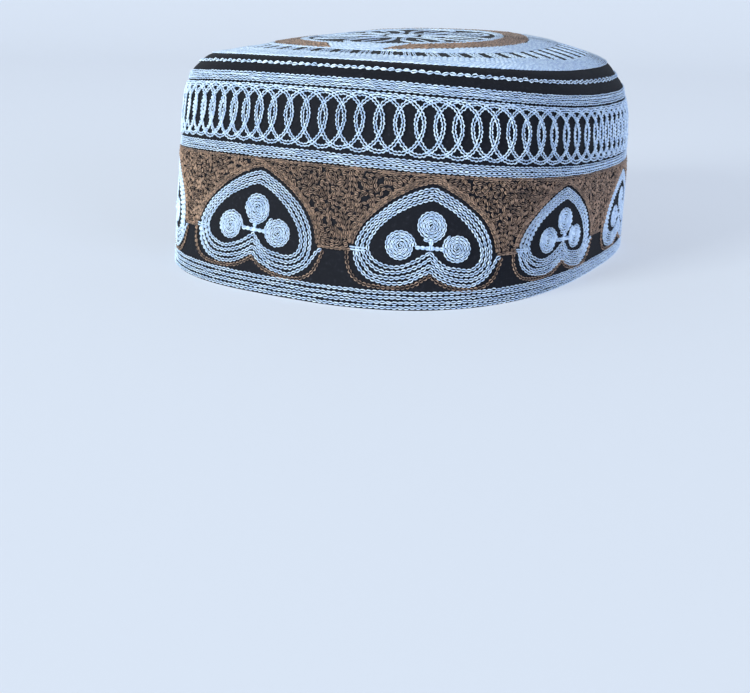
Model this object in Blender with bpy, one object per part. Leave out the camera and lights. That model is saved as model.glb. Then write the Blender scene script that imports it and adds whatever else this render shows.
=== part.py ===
"""Prayer cap of stiff black cloth: an oval side band sewn round a low domed crown.

Lengths are in metres, and +Z is up. The hem lies on Z = 0 with the middle of its oval at the
origin. The front of the cap faces -X, and the cap is the same on both sides of the XZ plane.
"""
import math
from collections import namedtuple

import bmesh
import bpy
from mathutils import Vector

WALL_THICKNESS = 0.0020     # cloth and its backing
SEAM_GAP = 0.0003           # between the side band's top edge and the crown's edge
OVAL_POWER = 2.7            # 2 is an ellipse; more is squarer
SIDES = 80                  # facets round the cap
STEP = 1e-5                 # small step for measuring the surface's slope

# One row for each section, from the hem up and over the crown.
# height: at the cap's middle. rise: how much the section climbs toward the back, per metre.
# bow: how much its two ends, front and back, stand above its middle, per square metre.
# length, width: the outer oval, front to back and side to side. steps: loft rings to the next row.
Section = namedtuple("Section", "name height rise bow length width steps")
SECTIONS = (
    Section("hem",             0.0000,  0.000, 0.00, 0.2000, 0.1602, 1),
    Section("hem_band_top",    0.0050, -0.010, 0.07, 0.1979, 0.1603, 4),
    Section("low_band_bottom", 0.0383, -0.030, 0.50, 0.1845, 0.1605, 1),
    Section("low_band_top",    0.0420, -0.036, 0.54, 0.1830, 0.1601, 3),
    Section("ring_band_top",   0.0620, -0.028, 0.69, 0.1751, 0.1561, 1),
    Section("high_band_top",   0.0664, -0.024, 0.69, 0.1720, 0.1535, 2),
    Section("seam",            0.0701, -0.020, 0.60, 0.1634, 0.1463, 1),
    Section("crown_edge",      0.0743, -0.007, 0.53, 0.1567, 0.1404, 2),
    Section("crown_outer",     0.0775,  0.010, 0.46, 0.1403, 0.1258, 2),
    Section("crown_mid",       0.0807,  0.026, 0.38, 0.1165, 0.1043, 2),
    Section("crown_inner",     0.0833,  0.038, 0.36, 0.0844, 0.0757, 2),
    Section("crown_centre",    0.0841,  0.044, 0.36, 0.0469, 0.0421, 2),
    Section("top",             0.0843,  0.044, 0.36, 0.0000, 0.0000, 0),
)
COLUMNS = ("height", "rise", "bow", "length", "width")

BLACK_CLOTH = (0.016, 0.018, 0.026, 1.0)
CLOTH_ROUGHNESS = 0.75


def clear_scene():
    """Removes whatever the scene holds."""
    for old in list(bpy.data.objects):
        bpy.data.objects.remove(old, do_unlink=True)


def mean_radius(section):
    """Half the mean of a section's length and width."""
    return (section.length + section.width) / 4


def profile_distances():
    """Distance of each section from the hem, along the middle of the wall's profile."""
    distances = [0.0]
    for below, above in zip(SECTIONS, SECTIONS[1:]):
        outward = mean_radius(above) - mean_radius(below)
        distances.append(distances[-1] + math.hypot(outward, above.height - below.height))
    return distances


DISTANCES = profile_distances()
SEAM_ROW = [section.name for section in SECTIONS].index("seam")


def column_slopes(column):
    """Slope of one column at each section, so that the profile bends smoothly through the rows."""
    values = [getattr(section, column) for section in SECTIONS]
    legs = [(b - a) / (e - d) for a, b, d, e in zip(values, values[1:], DISTANCES, DISTANCES[1:])]
    slopes = [legs[0]]
    for row in range(1, len(values) - 1):
        before = DISTANCES[row] - DISTANCES[row - 1]
        after = DISTANCES[row + 1] - DISTANCES[row]
        slopes.append((legs[row - 1] * after + legs[row] * before) / (before + after))
    # The top is level in the middle, while the oval still shrinks at its last rate.
    slopes.append(legs[-1] if column in ("length", "width") else 0.0)
    return slopes


SLOPES = {column: column_slopes(column) for column in COLUMNS}


def profile_value(column, distance):
    """One column of the table at any distance from the hem, by a cubic between two rows."""
    row = 0
    while row < len(SECTIONS) - 2 and distance > DISTANCES[row + 1]:
        row += 1
    span = DISTANCES[row + 1] - DISTANCES[row]
    t = (distance - DISTANCES[row]) / span
    start = getattr(SECTIONS[row], column)
    end = getattr(SECTIONS[row + 1], column)
    blend = t * t * (3 - 2 * t)
    bend_in = t * (1 - t) ** 2 * span * SLOPES[column][row]
    bend_out = t * t * (t - 1) * span * SLOPES[column][row + 1]
    return start + (end - start) * blend + bend_in + bend_out


def outer_point(angle, distance):
    """A point of the cap's outer surface, round the oval and up the profile."""
    half_length = profile_value("length", distance) / 2
    half_width = profile_value("width", distance) / 2
    across = abs(math.cos(angle) / half_length) ** OVAL_POWER
    along = abs(math.sin(angle) / half_width) ** OVAL_POWER
    radius = (across + along) ** (-1 / OVAL_POWER)
    x = radius * math.cos(angle)
    climb = profile_value("rise", distance) * x + profile_value("bow", distance) * x * x
    return Vector((x, radius * math.sin(angle), profile_value("height", distance) + climb))


def outward(angle, distance):
    """The surface's outward direction at a point of it."""
    round_it = outer_point(angle + STEP, distance) - outer_point(angle - STEP, distance)
    up_it = outer_point(angle, distance + STEP) - outer_point(angle, distance - STEP)
    return round_it.cross(up_it).normalized()


def wall_ring(distance, depth):
    """Points round the cap, at a depth under its outer surface."""
    points = []
    for side in range(SIDES):
        angle = 2 * math.pi * side / SIDES
        point = outer_point(angle, distance) - outward(angle, distance) * depth
        if distance == 0.0:
            point.z = 0.0       # the hem is level, inside and out
        points.append(point)
    return points


def ring_distances(first_row, last_row, start, end):
    """Where the loft's rings go between two rows of the table."""
    distances = [start]
    for row in range(first_row, last_row):
        section = SECTIONS[row]
        for step in range(1, section.steps + 1):
            part = step / section.steps
            distances.append(DISTANCES[row] + (DISTANCES[row + 1] - DISTANCES[row]) * part)
    distances[-1] = end
    return distances


def add_ring(bm, points):
    """A closed loop of edges through the points."""
    verts = [bm.verts.new(point) for point in points]
    return [bm.edges.new((a, b)) for a, b in zip(verts, verts[1:] + verts[:1])]


def loft(bm, rings):
    """Bridges each ring of edges to the next one."""
    for below, above in zip(rings, rings[1:]):
        bmesh.ops.bridge_loops(bm, edges=below + above)


def close_at_pole(bm, ring, pole_point):
    """Closes a ring with a fan of faces to one point."""
    pole = bm.verts.new(pole_point)
    for edge in ring:
        bm.faces.new((edge.verts[0], edge.verts[1], pole))


def finish_object(name, bm, material):
    """Makes the object, with its faces outward and its round faces smooth."""
    bmesh.ops.recalc_face_normals(bm, faces=bm.faces)
    mesh = bpy.data.meshes.new(name)
    bm.to_mesh(mesh)
    bm.free()
    mesh.shade_smooth()
    mesh.set_sharp_from_angle(angle=math.radians(50))
    mesh.materials.append(material)
    piece = bpy.data.objects.new(name, mesh)
    bpy.context.collection.objects.link(piece)
    return piece


def make_cloth(name):
    """Matt black cotton cloth."""
    material = bpy.data.materials.new(name)
    material.use_nodes = True
    shader = material.node_tree.nodes["Principled BSDF"]
    shader.inputs["Base Color"].default_value = BLACK_CLOTH
    shader.inputs["Roughness"].default_value = CLOTH_ROUGHNESS
    shader.inputs["Metallic"].default_value = 0.0
    return material


def make_side_band():
    """The oval wall, from the level hem to its edge at the seam."""
    top = DISTANCES[SEAM_ROW] - SEAM_GAP / 2
    levels = ring_distances(0, SEAM_ROW, 0.0, top)
    bm = bmesh.new()
    outer = [add_ring(bm, wall_ring(level, 0.0)) for level in levels]
    inner = [add_ring(bm, wall_ring(level, WALL_THICKNESS)) for level in reversed(levels)]
    loft(bm, outer + inner + outer[:1])
    return finish_object("side_band", bm, make_cloth("side_band_cloth"))


def make_crown():
    """The top, from its edge at the seam over the shoulder to the middle of the dome."""
    edge = DISTANCES[SEAM_ROW] + SEAM_GAP / 2
    levels = ring_distances(SEAM_ROW, len(SECTIONS) - 1, edge, DISTANCES[-1])
    levels.pop()                # the middle is one point, not a ring
    bm = bmesh.new()
    outer = [add_ring(bm, wall_ring(level, 0.0)) for level in reversed(levels)]
    inner = [add_ring(bm, wall_ring(level, WALL_THICKNESS)) for level in levels]
    loft(bm, outer + inner)
    top_height = SECTIONS[-1].height
    close_at_pole(bm, outer[0], (0.0, 0.0, top_height))
    close_at_pole(bm, inner[-1], (0.0, 0.0, top_height - WALL_THICKNESS))
    return finish_object("crown", bm, make_cloth("crown_cloth"))


clear_scene()
make_side_band()
make_crown()
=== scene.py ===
# %% [markdown]
# # An embroidered prayer cap
# The cap is black cloth covered with machine chain stitch in bluish white and brown thread. The
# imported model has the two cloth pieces. This lesson sews the embroidery on them as real geometry,
# because the pattern of a chain row, with a small dark hole in each link, is what the eye reads.

# %% The frame and its size
import itertools
import math

import bpy
import numpy as np
from mathutils import Matrix, Vector


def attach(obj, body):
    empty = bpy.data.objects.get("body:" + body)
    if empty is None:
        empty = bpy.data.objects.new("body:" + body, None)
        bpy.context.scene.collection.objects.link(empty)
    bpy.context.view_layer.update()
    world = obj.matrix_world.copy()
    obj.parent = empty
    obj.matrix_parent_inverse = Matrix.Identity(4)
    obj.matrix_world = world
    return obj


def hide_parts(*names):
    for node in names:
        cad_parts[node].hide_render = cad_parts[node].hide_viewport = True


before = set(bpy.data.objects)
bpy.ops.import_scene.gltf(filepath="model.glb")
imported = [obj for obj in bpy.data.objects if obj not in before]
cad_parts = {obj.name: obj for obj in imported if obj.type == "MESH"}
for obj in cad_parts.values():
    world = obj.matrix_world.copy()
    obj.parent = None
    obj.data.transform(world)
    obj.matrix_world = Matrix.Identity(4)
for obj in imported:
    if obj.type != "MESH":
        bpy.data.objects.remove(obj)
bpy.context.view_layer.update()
MM = 0.001


# %% [markdown]
# ## The camera
# The photograph was taken from the cap's front left, a little above it. A camera can be placed by
# hand and nudged, but here its place and its directions were worked out from the cap's own size and
# its outline in the photograph, so both are written straight into a matrix.

# %% Camera
scene = bpy.context.scene
CAMERA_PLACE = Vector((-0.38628, -0.20006, 0.09758))
CAMERA_RIGHT = Vector((0.49366, -0.86939, 0.02170))
CAMERA_UP = Vector((0.26332, 0.17321, 0.94903))
PHOTO_WIDTH = 750           # pixels
FOCAL_PIXELS = 1048.2       # the lens length, in the photograph's pixels
SENSOR = 36.0               # millimetres across


def add_object(name, data):
    """A new object in the scene that shows the data."""
    made = bpy.data.objects.new(name, data)
    scene.collection.objects.link(made)
    return made


def place_camera():
    """A camera that looks along minus its third direction, as every camera in Blender does."""
    lens = bpy.data.cameras.new("photo_camera")
    lens.sensor_fit = "HORIZONTAL"
    lens.sensor_width = SENSOR
    lens.lens = SENSOR * FOCAL_PIXELS / PHOTO_WIDTH
    lens.clip_start = 0.01
    camera = add_object("photo_camera", lens)
    back = CAMERA_RIGHT.cross(CAMERA_UP).normalized()
    turn = Matrix((CAMERA_RIGHT, CAMERA_UP, back)).transposed().to_4x4()
    camera.matrix_world = Matrix.Translation(CAMERA_PLACE) @ turn
    scene.camera = camera
    return lens.lens


print("lens:", round(place_camera(), 2), "mm")

# %% [markdown]
# ## The surface of the cap
# Every stitch lies on one curved surface. The surface could be read from the mesh by casting rays,
# but the same short table of ovals that the cloth was cut from gives any point of it exactly, so
# the table is repeated here. A place on the cap is then two numbers: an angle round the oval and a
# distance from the hem, up the side and over the crown.

# %% The table of ovals
OVAL_POWER = 2.7            # 2 is an ellipse; more is squarer
WALL = 2.0 * MM
PUFF = 1.2 * MM             # the cloth stands a little fuller over the seam than it was cut
PUFF_AT, PUFF_REACH = 73.3 * MM, 4.4 * MM
# name: height, rise toward the back per metre, bow of its two ends per square metre, length, width
OVALS = {
    "hem":             (0.0000,  0.000, 0.00, 0.2000, 0.1602),
    "hem_band_top":    (0.0050, -0.010, 0.07, 0.1979, 0.1603),
    "low_band_bottom": (0.0383, -0.030, 0.50, 0.1845, 0.1605),
    "low_band_top":    (0.0420, -0.036, 0.54, 0.1830, 0.1601),
    "ring_band_top":   (0.0620, -0.028, 0.69, 0.1751, 0.1561),
    "high_band_top":   (0.0664, -0.024, 0.69, 0.1720, 0.1535),
    "seam":            (0.0701, -0.020, 0.60, 0.1634, 0.1463),
    "crown_edge":      (0.0743, -0.007, 0.53, 0.1567, 0.1404),
    "crown_outer":     (0.0775,  0.010, 0.46, 0.1403, 0.1258),
    "crown_mid":       (0.0807,  0.026, 0.38, 0.1165, 0.1043),
    "crown_inner":     (0.0833,  0.038, 0.36, 0.0844, 0.0757),
    "crown_centre":    (0.0841,  0.044, 0.36, 0.0469, 0.0421),
    "top":             (0.0843,  0.044, 0.36, 0.0000, 0.0000),
}
HEIGHT, RISE, BOW, LENGTH, WIDTH = range(5)
ovals = np.array(list(OVALS.values()))
mean_radius = (ovals[:, LENGTH] + ovals[:, WIDTH]) / 4
steps_up = np.hypot(np.diff(mean_radius), np.diff(ovals[:, HEIGHT]))
distances = np.concatenate([[0.0], np.cumsum(steps_up)])
level = dict(zip(OVALS, distances))
print("millimetres from the hem:", {name: round(d / MM, 1) for name, d in level.items()})

# %% Smooth columns between the ovals
legs = np.diff(ovals, axis=0) / steps_up[:, None]
between = legs[:-1] * steps_up[1:, None] + legs[1:] * steps_up[:-1, None]
between /= (steps_up[:-1] + steps_up[1:])[:, None]
# the top is level in the middle, while the oval still shrinks at its last rate
last = np.where(np.arange(ovals.shape[1]) >= LENGTH, legs[-1], 0.0)
slopes = np.vstack([legs[0], between, last])
SMALLEST = 1e-6             # metres; the last oval is a point, and this stands for its size


def oval_at(distance):
    """The five columns at any distance from the hem, by a cubic between two rows."""
    row = np.clip(np.searchsorted(distances, distance, side="right") - 1, 0, len(distances) - 2)
    span = steps_up[row]
    t = ((distance - distances[row]) / span)[..., None]
    span = span[..., None]
    start, end = ovals[row], ovals[row + 1]
    value = start + (end - start) * t * t * (3 - 2 * t)
    value = value + t * (1 - t) ** 2 * span * slopes[row] + t * t * (t - 1) * span * slopes[row + 1]
    return np.moveaxis(value, -1, 0)


def oval_radius(angle, length, width, power=OVAL_POWER):
    """From the middle to the oval's edge, in one direction."""
    across = np.abs(np.cos(angle) / (np.maximum(length, SMALLEST) / 2)) ** power
    along = np.abs(np.sin(angle) / (np.maximum(width, SMALLEST) / 2)) ** power
    return (across + along) ** (-1 / power)


def cap_point(angle, distance):
    """Points of the cap's outer surface."""
    angle, distance = np.broadcast_arrays(np.asarray(angle, float), np.asarray(distance, float))
    height, rise, bow, length, width = oval_at(distance)
    # the fuller cloth stands out and up by the same amount
    puff = PUFF * math.sqrt(0.5) * np.exp(-((distance - PUFF_AT) / PUFF_REACH) ** 2)
    radius = oval_radius(angle, length, width) + puff
    x = radius * np.cos(angle)
    return np.stack([x, radius * np.sin(angle), height + puff + rise * x + bow * x * x], axis=-1)


def cap_normal(angle, distance):
    """The surface's outward direction at the same points."""
    tiny = 1e-5
    distance = np.minimum(distance, distances[-1] - 3 * tiny)
    round_it = cap_point(angle + tiny, distance) - cap_point(angle - tiny, distance)
    up_it = cap_point(angle, distance + tiny) - cap_point(angle, distance - tiny)
    normal = np.cross(round_it, up_it)
    return normal / np.linalg.norm(normal, axis=-1, keepdims=True)


# %% [markdown]
# An embroiderer measures in millimetres of cloth, not in angles. So a pattern is drawn on a flat
# strip: `along` runs round the cap from the middle of the back, and `up` from the hem. One function
# turns the strip's lengths into angles. The crown's middle is drawn on a flat plan instead.

# %% From the flat pattern to the cap
BAND_LEVEL = (level["low_band_bottom"] + level["low_band_top"]) / 2
STEPS_ROUND = 8 * 360       # eight for each degree
HALVINGS = 40               # a search for a place halves its range this many times


def lengths_along(points):
    """How far each point of a line is from its start, along the line."""
    return np.concatenate([[0.0], np.cumsum(np.linalg.norm(np.diff(points, axis=0), axis=1))])


all_round = np.linspace(0, 2 * math.pi, STEPS_ROUND + 1)
hoop_length = lengths_along(cap_point(all_round, BAND_LEVEL))
ROUND = hoop_length[-1]


def strip(along, up):
    """A place on the flat strip, in metres, as an angle and a distance on the cap."""
    along = np.asarray(along, float)
    whole = np.floor(along / ROUND)
    angle = np.interp(along - whole * ROUND, hoop_length, all_round) + 2 * math.pi * whole
    return angle, np.broadcast_to(np.asarray(up, float), angle.shape).copy()


def plan(x, y):
    """A place on the crown seen from above, in metres, as an angle and a distance on the cap."""
    angle = np.arctan2(y, x)
    reach = np.hypot(x, y)
    low = np.full(angle.shape, level["crown_edge"])
    high = np.full(angle.shape, distances[-1])
    for _ in range(HALVINGS):
        middle = (low + high) / 2
        _, _, _, length, width = oval_at(middle)
        outside = oval_radius(angle, length, width) > reach
        low = np.where(outside, middle, low)
        high = np.where(outside, high, middle)
    return np.unwrap(angle), (low + high) / 2


print("round the cap at the low band:", round(ROUND / MM, 1), "mm")

# %% [markdown]
# ## The cloth
# The side band and the crown are stiff cotton, two millimetres thick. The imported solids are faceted
# and bare. A finer copy of each replaces them, with the slight hollows that rows of tight stitches
# pull into cloth and a groove where the crown is sewn to the side. Each is a closed wall: an outer
# sheet, an inner sheet, and the two edges between them.

# %% Hollows and groove
PUCKER = 0.12 * MM          # how far the cloth waves between the rows
PUCKERS_ROUND = 23          # hollows round the cap
PUCKER_SLANT = 400.0        # radians of these waves for each metre up, so that they lean
PUCKER_STEP = 7 * MM        # and the way up the side for each radian of the waves between rows
PUCKER_DRIFT, DRIFTS_ROUND = 3, 4   # how far those drift, in radians, and how often round the cap
GROOVE = 0.15 * MM          # depth of the seam's groove
GROOVE_WIDTH = 0.9 * MM


def pucker(angle, distance):
    """Small hollows in the cloth, and the groove at the seam."""
    leaning = np.sin(PUCKERS_ROUND * angle + PUCKER_SLANT * distance)
    rising = np.sin(distance / PUCKER_STEP + PUCKER_DRIFT * np.sin(DRIFTS_ROUND * angle))
    groove = np.exp(-((distance - level["seam"]) / GROOVE_WIDTH) ** 2)
    return PUCKER * (leaning * rising - 1) / 2 - GROOVE * groove


# %% Cloth walls
COLUMNS = 200               # round each wall
SIDE_RINGS, CROWN_RINGS = 40, 44
SEAM_GAP = 0.3 * MM
POLE_REACH = 1.5 * MM       # from the middle of the crown to its last ring
SHARP = math.radians(50)    # an edge that bends more is drawn sharp


def cloth_wall(name, levels, pole=False):
    """A closed wall of cloth through rings at the given distances; a pole closes the crown."""
    angle = np.linspace(0, 2 * math.pi, COLUMNS, endpoint=False)
    a, d = np.meshgrid(angle, levels)
    outer = cap_point(a, d) + cap_normal(a, d) * pucker(a, d)[..., None]
    inner = cap_point(a, d) - cap_normal(a, d) * WALL
    hem = d == 0.0
    outer[hem, 2] = 0.0
    inner[hem, 2] = 0.0
    rings = len(levels)
    sheet = np.concatenate([outer, inner[::-1]]).reshape(-1, 3)
    ring_count = 2 * rings
    faces = []
    for ring in range(ring_count - 1 if pole else ring_count):
        if pole and ring == rings - 1:
            continue        # the two poles close here
        below = ring * COLUMNS
        above = (ring + 1) % ring_count * COLUMNS
        for i in range(COLUMNS):
            j = (i + 1) % COLUMNS
            faces.append((below + i, below + j, above + j, above + i))
    points = sheet.tolist()
    if pole:
        top = distances[-1]
        height = float(oval_at(np.array(top))[HEIGHT])
        points += [(0.0, 0.0, height), (0.0, 0.0, height - WALL)]
        outer_pole, inner_pole = len(points) - 2, len(points) - 1
        rim, inner_rim, edge = (rings - 1) * COLUMNS, rings * COLUMNS, (ring_count - 1) * COLUMNS
        for i in range(COLUMNS):
            j = (i + 1) % COLUMNS
            faces.append((rim + i, rim + j, outer_pole))
            faces.append((inner_rim + j, inner_rim + i, inner_pole))
            faces.append((edge + i, edge + j, j, i))
    mesh = bpy.data.meshes.new(name)
    mesh.from_pydata(points, [], faces)
    mesh.update()
    mesh.shade_smooth()
    mesh.set_sharp_from_angle(angle=SHARP)
    piece = add_object(name, mesh)
    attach(piece, "root")
    print(name, len(faces), "faces")
    return piece


side_levels = np.linspace(0.0, level["seam"] - SEAM_GAP / 2, SIDE_RINGS)
crown_levels = np.linspace(level["seam"] + SEAM_GAP / 2, distances[-1] - POLE_REACH, CROWN_RINGS)
side_cloth = cloth_wall("side_band_cloth", side_levels)
crown_cloth = cloth_wall("crown_cloth", crown_levels, pole=True)
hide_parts("side_band")
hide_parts("crown")

# %% [markdown]
# ## A row of chain stitch
# In chain stitch the thread comes up inside the loop before it, makes a new loop and goes down
# again, so each link is a small drop with a dark hole. A link could be one modelled drop copied
# along a curve, but two strands that part and meet again once in every stitch give the same row in
# one continuous mesh, and the row bends smoothly round tight corners. Each strand has three sides,
# flat side down, and the free ends are capped.

# %% How a link is shaped
LINK_SPREAD = np.array([0.46, 1.00, 0.88])  # how far the strands are apart, three times a stitch
LINK_HEIGHT = np.array([0.08, 0.42, 0.75])  # how high they ride, in strand thicknesses
LINK_THICK = np.array([0.78, 1.00, 1.04])  # how thick they are
UNEVEN_WIDTH = 0.10         # part of a link's width
UNEVEN_SIDE = 0.045 * MM
UNEVEN_HEIGHT = 0.040 * MM
END_SPREAD = 0.25           # the strands come together at a free end, to this part of their spread
SAMPLES = len(LINK_SPREAD)
SECTION = np.array([(-0.50, -0.42), (0.50, -0.42), (0.0, 0.56)])    # a strand cut across
STRAND_SIDES = len(SECTION)
YARN_SHIFT = 11             # stitches from one strand's place on the yarn to the next one's
print("a stitch has", 2 * SAMPLES * STRAND_SIDES, "faces")

# %% Marks along a row
hand = np.random.default_rng(7)
strand_numbers = itertools.count()


def stitch_marks(path, stitch, closed):
    """The same path with marks at even lengths, a whole number of stitches in all."""
    angle, distance = path
    lengths = lengths_along(cap_point(angle, distance))
    count = max(1, round(lengths[-1] / stitch))
    marks = np.linspace(0, lengths[-1], count * SAMPLES + 1)
    if closed:
        marks = marks[:-1]
    index = np.arange(len(lengths))
    at = np.interp(marks, lengths, index)
    return np.interp(at, index, angle), np.interp(at, index, distance), at


# %% One row, and one strand of it
def chain(path, width, stitch, strand, lift=0.0, closed=False, flat=1.0, pinch=1.0):
    """One row of chain, as its two strands. lift may change along the path; flat presses it down,
    and a pinch under 1 draws the links tighter where they meet."""
    angle, distance, at = stitch_marks(path, stitch, closed)
    lift = np.interp(at, np.arange(len(path[0])), np.broadcast_to(lift, len(path[0])))
    points, normal = cap_point(angle, distance), cap_normal(angle, distance)
    if closed:
        ahead = np.roll(points, -1, axis=0) - np.roll(points, 1, axis=0)
    else:
        ahead = np.gradient(points, axis=0)
    side = np.cross(normal, ahead)
    side /= np.linalg.norm(side, axis=1, keepdims=True)
    link, step = np.divmod(np.arange(len(points)), SAMPLES)
    wider, aside, higher = hand.normal(0, 1, (3, link[-1] + 1))[:, link]
    link_end_factor = np.where(step == 0, pinch, 1.0)
    spread = LINK_SPREAD[step] * link_end_factor * (width - strand) / 2 * (1 + UNEVEN_WIDTH * wider)
    height = LINK_HEIGHT[step] * strand * flat + lift + UNEVEN_HEIGHT * np.abs(higher) * flat
    points = points + side * (UNEVEN_SIDE * aside)[:, None]
    thick = (LINK_THICK[step] * link_end_factor * strand)[:, None, None]
    if not closed:
        spread[0] = spread[-1] = END_SPREAD * spread.max()
    made = []
    for way in (-1, 1):
        middle = points + side * (way * spread)[:, None] + normal * height[:, None]
        corners = middle[:, None] + thick * (
            side[:, None] * SECTION[None, :, :1] + normal[:, None] * SECTION[None, :, 1:] * flat
        )
        made.append(strand_mesh(corners, closed, next(strand_numbers)))
    return made


def strand_mesh(corners, closed, number):
    """A three-sided tube through rings of corners, its faces, and where each corner is on the yarn."""
    rings = len(corners)
    ring = np.arange(rings if closed else rings - 1)
    after = (ring + 1) % rings
    faces = []
    uv = []
    over = (0.0, 1.0, 0.5)      # where the three corners are round the yarn
    first, second = ring * STRAND_SIDES, after * STRAND_SIDES
    for k in range(STRAND_SIDES):
        m = (k + 1) % STRAND_SIDES
        faces.append(np.stack([first + k, first + m, second + m, second + k], axis=1))
        here = ring / SAMPLES + number * YARN_SHIFT
        there = here + 1 / SAMPLES
        low, high = np.full(len(ring), over[k]), np.full(len(ring), over[m])
        uv.append(np.stack([here, low, here, high, there, high, there, low], axis=1).reshape(-1, 4, 2))
    quads = np.concatenate(faces)
    quad_uv = np.concatenate(uv)
    caps = np.zeros((0, 3), int)
    if not closed:
        end = (rings - 1) * STRAND_SIDES
        caps = np.array([[0, 2, 1], [end, end + 1, end + 2]])
    return corners.reshape(-1, 3), quads, quad_uv, caps


# %% [markdown]
# Thousands of links make one piece of embroidery, so the rows are gathered and turned into one mesh
# for each part of the pattern. The mesh is filled straight from arrays, because making each link
# with an operator would take minutes.

# %% From rows to one piece
triangles = {}


def sew(name, rows):
    """Joins rows of chain into one closed mesh that rides on the cap."""
    strands = [strand for row in rows for strand in row]
    sizes = [len(points) for points, _, _, _ in strands]
    offsets = np.concatenate([[0], np.cumsum(sizes)[:-1]])
    points = np.concatenate([s[0] for s in strands])
    quads = np.concatenate([s[1] + o for s, o in zip(strands, offsets)])
    quad_uv = np.concatenate([s[2] for s in strands]).reshape(-1, 2)
    caps = np.concatenate([s[3] + o for s, o in zip(strands, offsets)])
    mesh = bpy.data.meshes.new(name)
    mesh.vertices.add(len(points))
    mesh.vertices.foreach_set("co", points.astype(np.float32).ravel())
    corner_of = np.concatenate([quads.ravel(), caps.ravel()]).astype(np.int32)
    mesh.loops.add(len(corner_of))
    mesh.loops.foreach_set("vertex_index", corner_of)
    starts = np.concatenate([np.arange(len(quads)) * 4, len(quads) * 4 + np.arange(len(caps)) * 3])
    mesh.polygons.add(len(starts))
    mesh.polygons.foreach_set("loop_start", starts.astype(np.int32))
    mesh.update(calc_edges=True)
    yarn = mesh.uv_layers.new(name="yarn")
    cap_uv = np.zeros((caps.size, 2))
    yarn.uv.foreach_set("vector", np.concatenate([quad_uv, cap_uv]).astype(np.float32).ravel())
    mesh.shade_smooth()
    mesh.validate()
    piece = add_object(name, mesh)
    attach(piece, "root")
    triangles[name] = 2 * len(quads) + len(caps)
    print(name, len(rows), "rows,", triangles[name], "triangles")
    return piece


# %% [markdown]
# ## Straight rows round the cap
# The hem has four rows, and there are three above the hearts and three above the rings. A hand
# guides the cloth under the needle, so no row is quite straight: a few slow waves, a whole number
# of them round the cap, move each row by up to about a tenth of a millimetre.

# %% Hem, low band, high band
BAND_PINCH = 0.74           # the links of bands and hearts are drawn tighter than a ring's
# each kind of row has its own width, length of stitch and thickness of strand
BAND_ROW = dict(width=1.28 * MM, stitch=2.0 * MM, strand=0.45 * MM, pinch=BAND_PINCH)
WAVES_ROUND = (3, 7, 13, 29, 61)
WANDER = 0.06 * MM          # how far a row wanders from its level
FINE = 0.5 * MM             # spacing of a path's points


def wander(along, reach):
    """Slow waves that close round the cap."""
    total = np.zeros_like(along)
    for waves in WAVES_ROUND:
        phase = hand.uniform(0, 2 * math.pi)
        total += np.sin(2 * math.pi * waves * along / ROUND + phase) / math.sqrt(len(WAVES_ROUND))
    return total * reach


def hoop_row(up, **kind):
    """A closed row of chain round the cap at one level."""
    along = np.linspace(0, ROUND, int(ROUND / FINE))
    height = up + wander(along, WANDER)
    height[-1] = height[0]
    return chain(strip(along, height), closed=True, **kind)


HEM_ROWS = np.array([0.70, 1.93, 3.18, 4.45]) * MM
LOW_ROWS = np.array([39.42, 40.50, 41.56]) * MM
HIGH_ROWS = np.array([63.60, 64.80, 65.98]) * MM
hem_rows = sew("hem_rows", [hoop_row(up, **BAND_ROW) for up in HEM_ROWS])
low_rows = sew("low_band_rows", [hoop_row(up, **BAND_ROW) for up in LOW_ROWS])
high_rows = sew("high_band_rows", [hoop_row(up, **BAND_ROW) for up in HIGH_ROWS])

# %% [markdown]
# ## The ring chain
# Between the two bands stand 86 oval rings. Each is more than two spaces wide, so the right side of
# one ring and the left side of the next but one cross, and cross again: that makes the narrow
# pointed eyes, with a wide dark window between two eyes and a small dark triangle under and over
# each eye. A single looping curve would do it too, but rings are simpler to set out.

# %% Where the rings stand
RING_COUNT = 86
FIRST_RING = -14
# ring number: where it stands along the strip, in millimetres; a hand spaces them unevenly
RING_STATIONS = {-14: 243.7, -8: 278.7, 0: 332.7, 3: 351.8, 6: 371.5, 8: 385.6, 10: 401.3, 12: 419.0}
LENS_HALF = 1.37 * MM       # half the width of an eye, between its rows
RING_MIDDLE_UP = 52.7 * MM
RING_ABOVE, RING_BELOW = 8.5 * MM, 9.3 * MM
RING_POWER = 1.9


def ring_places():
    """The rings' middles along the strip, and the first one again after a whole turn."""
    numbers = [*RING_STATIONS, FIRST_RING + RING_COUNT]
    places = [place * MM for place in RING_STATIONS.values()]
    places.append(places[0] + ROUND)
    return np.interp(np.arange(FIRST_RING, FIRST_RING + RING_COUNT + 1), numbers, places)


ring_at = ring_places()
ring_gap = np.diff(ring_at)
narrowest, widest = round(ring_gap.min() / MM, 1), round(ring_gap.max() / MM, 1)
print(len(ring_gap), "rings,", narrowest, "to", widest, "mm apart")

# %% Ring chain
RING_ROW = dict(width=1.56 * MM, stitch=1.38 * MM, strand=0.49 * MM)
RING_UNEVEN = 0.012         # the rings differ in height by this part of it
RING_CHANGE = 2.4           # radians; near the golden angle, so no two neighbours are alike
RING_POINTS = 97
CROSSING_LIFT = 0.40 * MM
RING_EDGE = 61.72 * MM      # level of the row over the rings' tops
RING_EDGE_LIFT = 0.15 * MM


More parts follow.
